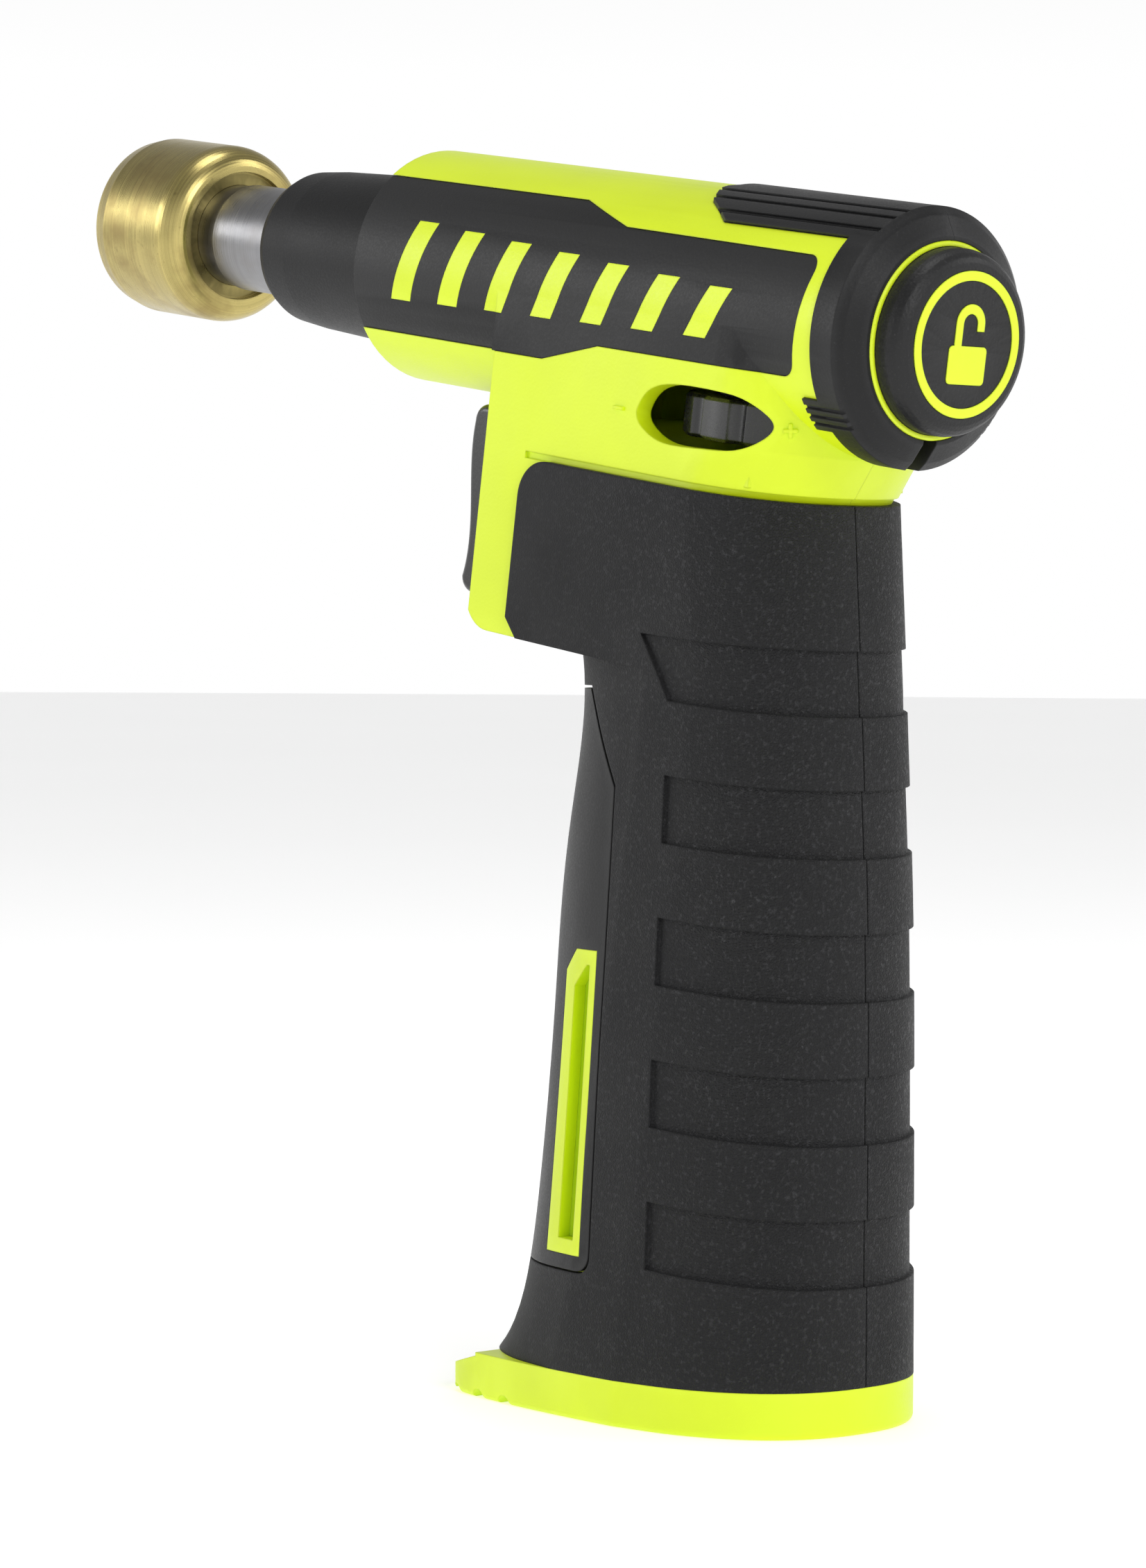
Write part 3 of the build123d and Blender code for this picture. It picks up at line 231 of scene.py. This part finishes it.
def tint(value, factor):
    return tuple(min(1.0, c * factor) for c in value[:3]) + (1.0,)


def moulded(name, base, rough, grain, sizes, spark=1.0, spec=0.5, coat=0.0):
    """Hard moulded plastic with spark texture and faint flow marks, with painted glints on the spark
    texture and painted highlights along sharp outer edges.
    """
    f = Finish(name)
    flow = f.noise(38.0, 3.0)
    fine = f.noise(1.0 / sizes.spark_cell, 2.0)
    pits = f.cells(0.6 / sizes.spark_cell)
    shade = f.mix(f.remap(flow, 0.3, 0.7, 0.0, 1.0), tint(base, 0.93), tint(base, 1.05))
    glint = f.remap(fine, 0.62, 0.78, 0.0, 0.30 * spark)
    shade = f.mix(glint, shade, tint(tuple(c * 0.8 + 0.05 for c in base[:3]), 1.35))
    # painted highlight: the colour is lightened along sharp outer edges
    highlit = f.maths("MULTIPLY", f.edges(), sizes.edge_highlight)
    shade = f.mix(highlit, shade, tint(tuple(c * 0.9 + 0.03 for c in base[:3]), 1.25))
    broad_dull = f.remap(flow, 0.3, 0.7, rough - 0.05, rough + 0.06)
    dull = f.maths("ADD", broad_dull, f.remap(fine, 0.3, 0.7, -0.05, 0.06))
    normal = f.bump(pits, grain, 0.00005, f.soft(sizes.soft_edge))
    normal = f.bump(fine, grain, 0.00004, normal)
    return f.done(shade, dull, normal, Specular_IOR_Level=spec, Coat_Weight=coat, Coat_Roughness=0.25)


def soft_grip(base, sizes):
    """Soft overmould: leathery grain all over, coarser towards the back, with a painted sheen of light
    specks towards the back and painted highlights along sharp edges.
    """
    f = Finish("soft grip")
    back = f.remap(f.axis_value("X"), GRAIN_AND_SHEEN_FRONT, GRAIN_AND_SHEEN_REAR, 0.25, 1.0)
    leather = f.cells(1.0 / sizes.leather_cell, "DISTANCE_TO_EDGE")
    pores = f.noise(0.8 / sizes.leather_cell, 3.0)
    cloud = f.noise(55.0, 3.0)
    shade = f.mix(f.remap(cloud, 0.3, 0.7, 0.0, 1.0), tint(base, 0.8), tint(base, 1.25))
    # painted sheen: light specks, more of them towards the back
    sheen_speck = f.maths("MULTIPLY", f.remap(pores, 0.56, 0.7, 0.0, 0.75), back)
    shade = f.mix(sheen_speck, shade, tint(base, 3.6))
    # painted highlight: the colour is lightened along sharp outer edges
    shade = f.mix(f.maths("MULTIPLY", f.edges(), sizes.edge_highlight), shade, tint(base, 2.4))
    matt = f.remap(cloud, 0.3, 0.7, 0.56, 0.70)
    dull = f.maths("SUBTRACT", matt, f.maths("MULTIPLY", f.remap(pores, 0.5, 0.7, 0.0, 0.22), back))
    height = f.maths("ADD", f.remap(leather, 0.0, 0.25, 0.0, 1.0), pores)
    normal = f.bump(height, f.maths("MULTIPLY", back, 0.8), 0.0001, f.soft(sizes.soft_edge * 1.6))
    return f.done(shade, dull, normal, Specular_IOR_Level=0.3, Sheen_Weight=0.02)


def radial(f):
    """Distance from the barrel's axis."""
    where = f.along_barrel()
    across, above = f.axis_value("Y", where), f.axis_value("Z", where)
    square = f.maths("ADD", f.maths("MULTIPLY", across, across), f.maths("MULTIPLY", above, above))
    return f.maths("POWER", square, 0.5)


def turned_metal(name, base, spot, rough, sizes, spots=0.35, heat=0.0, recess=0.0):
    """Turned metal: circular marks round the barrel's axis, tarnish, heat colour at the front, painted
    shade in the cup's recess and painted highlights along sharp edges.
    """
    f = Finish(name)
    rings = f.noise(1.0, 3.0, where=f.along_barrel((1.0 / sizes.brush_line, 18.0, 18.0)))
    broad = f.noise(1.0, 2.0, where=f.along_barrel((700.0, 30.0, 30.0)))
    cloud = f.noise(120.0, 4.0, 0.6)
    fleck = f.noise(900.0, 2.0)
    shade = f.mix(f.remap(rings, 0.35, 0.65, 0.0, 1.0), tint(base, 0.82), tint(base, 1.12))
    shade = f.mix(f.remap(broad, 0.45, 0.75, 0.0, 0.5), shade, tint(base, 0.72))
    stain = f.maths("MULTIPLY", f.remap(cloud, 0.50, 0.68, 0.0, 1.0), spots)
    shade = f.mix(stain, shade, spot)
    shade = f.mix(f.remap(fleck, 0.68, 0.76, 0.0, 0.6 * spots), shade, tint(spot, 0.6))
    # painted shade: the colour darkens inside the cup's turned recess
    if recess:
        inner = f.remap(radial(f), RECESS_R, RECESS_RIM_R, recess, 0.0)
        shade = f.mix(inner, shade, tint(base, 0.30))
    if heat:
        front = f.remap(f.axis_value("X", f.along_barrel()), HEAT_FRONT, HEAT_REAR, heat, 0.0)
        shade = f.mix(front, shade, HEAT_COLOUR)
    # painted highlight: the colour is lightened along sharp outer edges
    shade = f.mix(f.maths("MULTIPLY", f.edges(0.53, 0.62), 0.6), shade, tint(base, 1.3))
    ring_dull = f.remap(rings, 0.3, 0.7, rough - 0.06, rough + 0.08)
    dull = f.maths("ADD", ring_dull, f.remap(cloud, 0.4, 0.7, 0.0, 0.12))
    normal = f.bump(rings, 0.22, 0.00002, f.soft(0.0002))
    normal = f.bump(fleck, 0.08, 0.00003, normal)
    return f.done(shade, dull, normal, Metallic=1.0)


def dress(material, names):
    for name in names:
        if name not in NODES:
            raise RuntimeError("no such piece: " + name)
        NODES[name].data.materials.clear()
        NODES[name].data.materials.append(material)


def both(*names):
    return [name + side for name in names for side in ("_left", "_right")]


def settings(context):
    scene = context.scene
    return scene.torch_colours, scene.torch_sizes


# ------------------------------------------------------------------ finishes, one operator per family
class TORCH_OT_housing(bpy.types.Operator):
    """Yellow moulded housing, ornaments and bezel"""

    bl_idname = "torch.housing"
    bl_label = "Yellow housing"

    def execute(self, context):
        colours, sizes = settings(context)
        made = moulded("yellow plastic", tuple(colours.yellow), 0.40, 0.22, sizes, spark=0.6, coat=0.08)
        dress(made, both("housing", "panel_mark", "window_frame")
              + ["base_foot", "bezel_ring", "emblem_ring", "emblem_padlock"])
        return {"FINISHED"}


class TORCH_OT_grip(bpy.types.Operator):
    """Soft charcoal overmould of the handle"""

    bl_idname = "torch.grip"
    bl_label = "Soft grip"

    def execute(self, context):
        colours, sizes = settings(context)
        dress(soft_grip(tuple(colours.grip), sizes), both("grip"))
        return {"FINISHED"}


class TORCH_OT_black_mouldings(bpy.types.Operator):
    """Satin black nose, side panels, rear collar and spine, sparkling button, tinted window"""

    bl_idname = "torch.black_mouldings"
    bl_label = "Black mouldings"

    def execute(self, context):
        colours, sizes = settings(context)
        satin = moulded("satin black plastic", tuple(colours.black), 0.45, 0.25, sizes, spark=0.7, spec=0.3)
        dress(satin, both("side_panel", "cowl") + ["nose_sleeve", "front_spine"])
        sparkling = moulded("sparkling black plastic", tuple(colours.button), 0.42, 0.6, sizes,
                            spark=1.0, spec=0.35)
        dress(sparkling, ["lock_button"])
        clear = moulded("tinted window", tuple(colours.window), 0.18, 0.03, sizes, spark=0.1, coat=0.4)
        dress(clear, both("fuel_window"))
        return {"FINISHED"}


class TORCH_OT_controls(bpy.types.Operator):
    """Gloss black trigger and flame wheel"""

    bl_idname = "torch.controls"
    bl_label = "Trigger and wheel"

    def execute(self, context):
        colours, sizes = settings(context)
        dress(moulded("gloss black plastic", tuple(colours.gloss), 0.24, 0.06, sizes, 0.25, coat=0.3),
              ["trigger", "flame_wheel"])
        return {"FINISHED"}


class TORCH_OT_metals(bpy.types.Operator):
    """Brass burner cup and fittings, steel tube, springs and screws"""

    bl_idname = "torch.metals"
    bl_label = "Metals"

    def execute(self, context):
        colours, sizes = settings(context)
        spot = tuple(colours.tarnish)
        brass = turned_metal("turned brass", tuple(colours.brass), spot, 0.24, sizes, 0.45,
                             heat=0.06, recess=0.8)
        dress(brass, ["burner_cup", "flame_holder", "jet_holder", "gas_feed_tube", "valve_body",
                      "tank_valve_body", "fill_valve_body"])
        steel = turned_metal("brushed steel", tuple(colours.steel), STEEL_SPOT, 0.30, sizes, 0.25, 0.4)
        dress(steel, ["burner_tube", "regulator_spindle"])
        bright = turned_metal("bright steel", tint(colours.steel, 0.9), BRIGHT_SPOT, 0.25, sizes, 0.15)
        dress(bright, ["electrode", "lock_spring", "trigger_spring", "tank_valve_stem", "fill_valve_stem",
                       "screw_front", "screw_middle", "screw_low"])
        return {"FINISHED"}


class TORCH_OT_inner_pieces(bpy.types.Operator):
    """Hidden mouldings, tank, tubes, insulator and seal"""

    bl_idname = "torch.inner_pieces"
    bl_label = "Inner pieces"

    def execute(self, context):
        colours, sizes = settings(context)
        dress(moulded("natural plastic", tuple(colours.inner), 0.45, 0.1, sizes, 0.2),
              ["lock_guide", "piezo_plunger", "piezo_body", "gas_slide"])
        dress(moulded("tank plastic", tuple(colours.tank), 0.3, 0.08, sizes, 0.1, coat=0.2),
              ["fuel_tank", "gas_tube"])
        dress(moulded("ceramic", tuple(colours.ceramic), 0.6, 0.3, sizes, 0.1), ["electrode_insulator"])
        dress(moulded("black rubber", tuple(colours.grip), 0.6, 0.2, sizes, 0.2),
              ["ignition_wire", "fill_valve_seal"])
        return {"FINISHED"}


# ------------------------------------------------------------------ moulded signs beside the wheel
SIGN_PLACES = (("sign_minus", -32.7, -15.2, False), ("sign_plus", -1.9, -14.6, True))
SIGN_BAR = 0.28               # width of a bar as a share of its length
SIGN_EDGE = 0.00013           # rounding of a bar's edges
BEYOND_FLANK = 40             # a distance from the plane of symmetry, outside the housing, in millimetres


class TORCH_OT_signs(bpy.types.Operator):
    """Plus and minus signs moulded on both flanks, beside the flame wheel's ports"""

    bl_idname = "torch.signs"
    bl_label = "Plus and minus signs"

    def bar(self, frame_at, size):
        """A bar standing on the flank, its edges rounded."""
        bpy.ops.object.select_all(action="DESELECT")
        bpy.ops.mesh.primitive_cube_add(size=1.0)
        made = bpy.context.object
        made.scale = size
        bpy.ops.object.transform_apply(scale=True)
        bpy.ops.object.mode_set(mode="EDIT")
        bpy.ops.mesh.select_all(action="SELECT")
        bpy.ops.mesh.bevel(offset=SIGN_EDGE, segments=3, affect="EDGES")
        bpy.ops.object.mode_set(mode="OBJECT")
        made.matrix_world = frame_at
        bpy.ops.object.transform_apply(location=True, rotation=True)
        return made

    def seat(self, end, side, s, u):
        """The flank's place and slope at a sign, as a frame whose y points outwards."""
        shell = NODES["housing_" + end]
        start = barrel_point(s, side * BEYOND_FLANK, u)
        found, place, normal, _ = shell.ray_cast(start, Vector((0, -side, 0)))
        if not found:
            raise RuntimeError("no flank under a sign")
        if normal.y * side < 0:
            normal = -normal
        across = (ALONG - normal * ALONG.dot(normal)).normalized()
        up = across.cross(normal)
        return Matrix.Translation(place) @ Matrix((across, normal, up)).transposed().to_4x4()

    def execute(self, context):
        sizes = settings(context)[1]
        material = NODES["housing_left"].data.materials[0]
        long, thin = sizes.sign_length, sizes.sign_length * SIGN_BAR
        deep = sizes.sign_height * 2
        for name, s, u, crossed in SIGN_PLACES:
            for side, end in ((-1, "left"), (1, "right")):
                seat = self.seat(end, side, s, u)
                bars = [self.bar(seat, (long, deep, thin))]
                if crossed:
                    bars.append(self.bar(seat, (thin, deep * 0.98, long)))
                bpy.ops.object.select_all(action="DESELECT")
                for piece in bars:
                    piece.select_set(True)
                context.view_layer.objects.active = bars[0]
                if len(bars) > 1:
                    bpy.ops.object.join()
                sign = context.view_layer.objects.active
                sign.name = name + "_" + end
                bpy.ops.object.mode_set(mode="EDIT")
                bpy.ops.mesh.select_all(action="SELECT")
                bpy.ops.mesh.normals_make_consistent(inside=False)
                bpy.ops.object.mode_set(mode="OBJECT")
                bpy.ops.object.shade_smooth_by_angle(angle=radians(35))
                sign.data.materials.append(material)
                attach(sign, "housing")
        return {"FINISHED"}


# ------------------------------------------------------------------ studio
CAMERA_PLACE = (0.49152, -0.45234, 0.1134)
CAMERA_AZIMUTH = radians(48.88)
CAMERA_ELEVATION = radians(1.94)
CAMERA_ROLL = radians(0.34)
CAMERA_LENS = 104.6
FLOOR_STEP = 2.2              # each ring of the floor is this much wider than the last
HORIZON = (0.12, 0.6)         # heights between which the surroundings fade from white
LIGHTS = (
    # name, place, aimed at, size, watts
    ("key", (1.15, -0.35, 0.75), (0, 0, 0.1), 0.5, 5.0),
    ("fill", (-0.9, -0.9, 0.5), (0, 0, 0.1), 0.5, 2.5),
    ("rear", (0.9, 1.0, 0.9), (0, 0, 0.1), 0.6, 3.0),
    ("top", (0.0, 0.0, 1.4), (0, 0, 0), 0.7, 4.0),
)


class TORCH_OT_studio(bpy.types.Operator):
    """Pale floor, white surroundings, soft lights and the camera"""

    bl_idname = "torch.studio"
    bl_label = "Studio"

    def backdrop(self, half, material):
        """A wide round floor in three rings."""
        bpy.ops.object.select_all(action="DESELECT")
        bpy.ops.mesh.primitive_circle_add(vertices=96, radius=half * 0.5, fill_type="NGON")
        made = bpy.context.object
        made.name = "floor"
        bpy.ops.object.mode_set(mode="EDIT")
        bpy.ops.mesh.select_all(action="SELECT")
        bpy.ops.mesh.select_mode(type="EDGE")
        bpy.ops.mesh.region_to_loop()
        for _ in range(2):
            bpy.ops.mesh.extrude_edges_move()
            bpy.ops.transform.resize(value=(FLOOR_STEP, FLOOR_STEP, 1), center_override=(0, 0, 0))
        bpy.ops.object.mode_set(mode="OBJECT")
        bpy.ops.object.shade_smooth()
        made.data.materials.append(material)
        return made

    def execute(self, context):
        scene = context.scene
        studio = scene.torch_studio
        f = Finish("pale floor")
        haze = f.noise(3.0, 2.0)
        tone = tuple(studio.floor_tone)
        shade = f.mix(haze, tint(tone, 0.985), tint(tone, 1.01))
        material = f.done(shade, f.remap(haze, 0.2, 0.8, 0.55, 0.7), f.bump(haze, 0.02, 0.001),
                          Emission_Color=(1, 1, 1, 1), Emission_Strength=studio.floor_glow)
        self.backdrop(studio.floor_size, material)
        world = bpy.data.worlds.new("studio light")
        world.use_nodes = True
        tree = world.node_tree
        ground = tree.nodes["Background"]
        way = tree.nodes.new("ShaderNodeTexCoord")
        parts = tree.nodes.new("ShaderNodeSeparateXYZ")
        fade = tree.nodes.new("ShaderNodeMapRange")
        for key, number in (("From Min", HORIZON[0]), ("From Max", HORIZON[1]),
                            ("To Min", 1.0), ("To Max", studio.sky)):
            fade.inputs[key].default_value = number
        tree.links.new(way.outputs["Generated"], parts.inputs[0])
        tree.links.new(parts.outputs["Z"], fade.inputs["Value"])
        tree.links.new(fade.outputs["Result"], ground.inputs["Strength"])
        ground.inputs["Color"].default_value = (1, 1, 1, 1)
        scene.world = world
        for name, place, aim, size, watts in LIGHTS:
            bpy.ops.object.light_add(type="AREA", location=place)
            lamp = context.object
            lamp.name = name
            lamp.data.shape = "DISK"
            lamp.data.size = size
            lamp.data.energy = watts
            lamp.rotation_euler = (Vector(aim) - Vector(place)).to_track_quat("-Z", "Y").to_euler()
        bpy.ops.object.camera_add(location=CAMERA_PLACE)
        camera = context.object
        a, e, r = CAMERA_AZIMUTH, CAMERA_ELEVATION, CAMERA_ROLL
        back = Vector((sin(a) * cos(e), -cos(a) * cos(e), sin(e)))
        level = Vector((cos(a), sin(a), 0))
        upright = back.cross(level)
        right = level * cos(r) + upright * sin(r)
        up = upright * cos(r) - level * sin(r)
        turned = Matrix((right, up, back)).transposed().to_4x4()
        camera.matrix_world = Matrix.Translation(CAMERA_PLACE) @ turned
        camera.data.lens = CAMERA_LENS
        camera.data.sensor_width = 36.0
        camera.data.clip_start = 0.01
        scene.camera = camera
        scene.view_settings.view_transform = "Standard"
        return {"FINISHED"}


class TORCH_PT_panel(bpy.types.Panel):
    """Lists the torch's operators and settings"""

    bl_idname = "TORCH_PT_panel"
    bl_label = "Torch"
    bl_space_type = "VIEW_3D"
    bl_region_type = "UI"
    bl_category = "Torch"

    def draw(self, context):
        for step in STEPS:
            self.layout.operator(step.bl_idname)
        for group in (context.scene.torch_colours, context.scene.torch_sizes, context.scene.torch_studio):
            box = self.layout.box()
            for name in group.bl_rna.properties.keys():
                if name not in {"rna_type", "name"}:
                    box.prop(group, name)


STEPS = (
    TORCH_OT_housing,
    TORCH_OT_grip,
    TORCH_OT_black_mouldings,
    TORCH_OT_controls,
    TORCH_OT_metals,
    TORCH_OT_inner_pieces,
    TORCH_OT_signs,
    TORCH_OT_studio,
)
GROUPS = (("torch_colours", TorchColours), ("torch_sizes", TorchSizes), ("torch_studio", TorchStudio))


def register():
    for name, group in GROUPS:
        bpy.utils.register_class(group)
        setattr(bpy.types.Scene, name, bpy.props.PointerProperty(type=group))
    for made in (*STEPS, TORCH_PT_panel):
        bpy.utils.register_class(made)


def unregister():
    for made in reversed((*STEPS, TORCH_PT_panel)):
        bpy.utils.unregister_class(made)
    for name, group in reversed(GROUPS):
        delattr(bpy.types.Scene, name)
        bpy.utils.unregister_class(group)


def main():
    register()
    bpy.ops.torch.housing()
    bpy.ops.torch.grip()
    bpy.ops.torch.black_mouldings()
    bpy.ops.torch.controls()
    bpy.ops.torch.metals()
    bpy.ops.torch.inner_pieces()
    bpy.ops.torch.signs()
    bpy.ops.torch.studio()


if __name__ == "__main__":
    main()
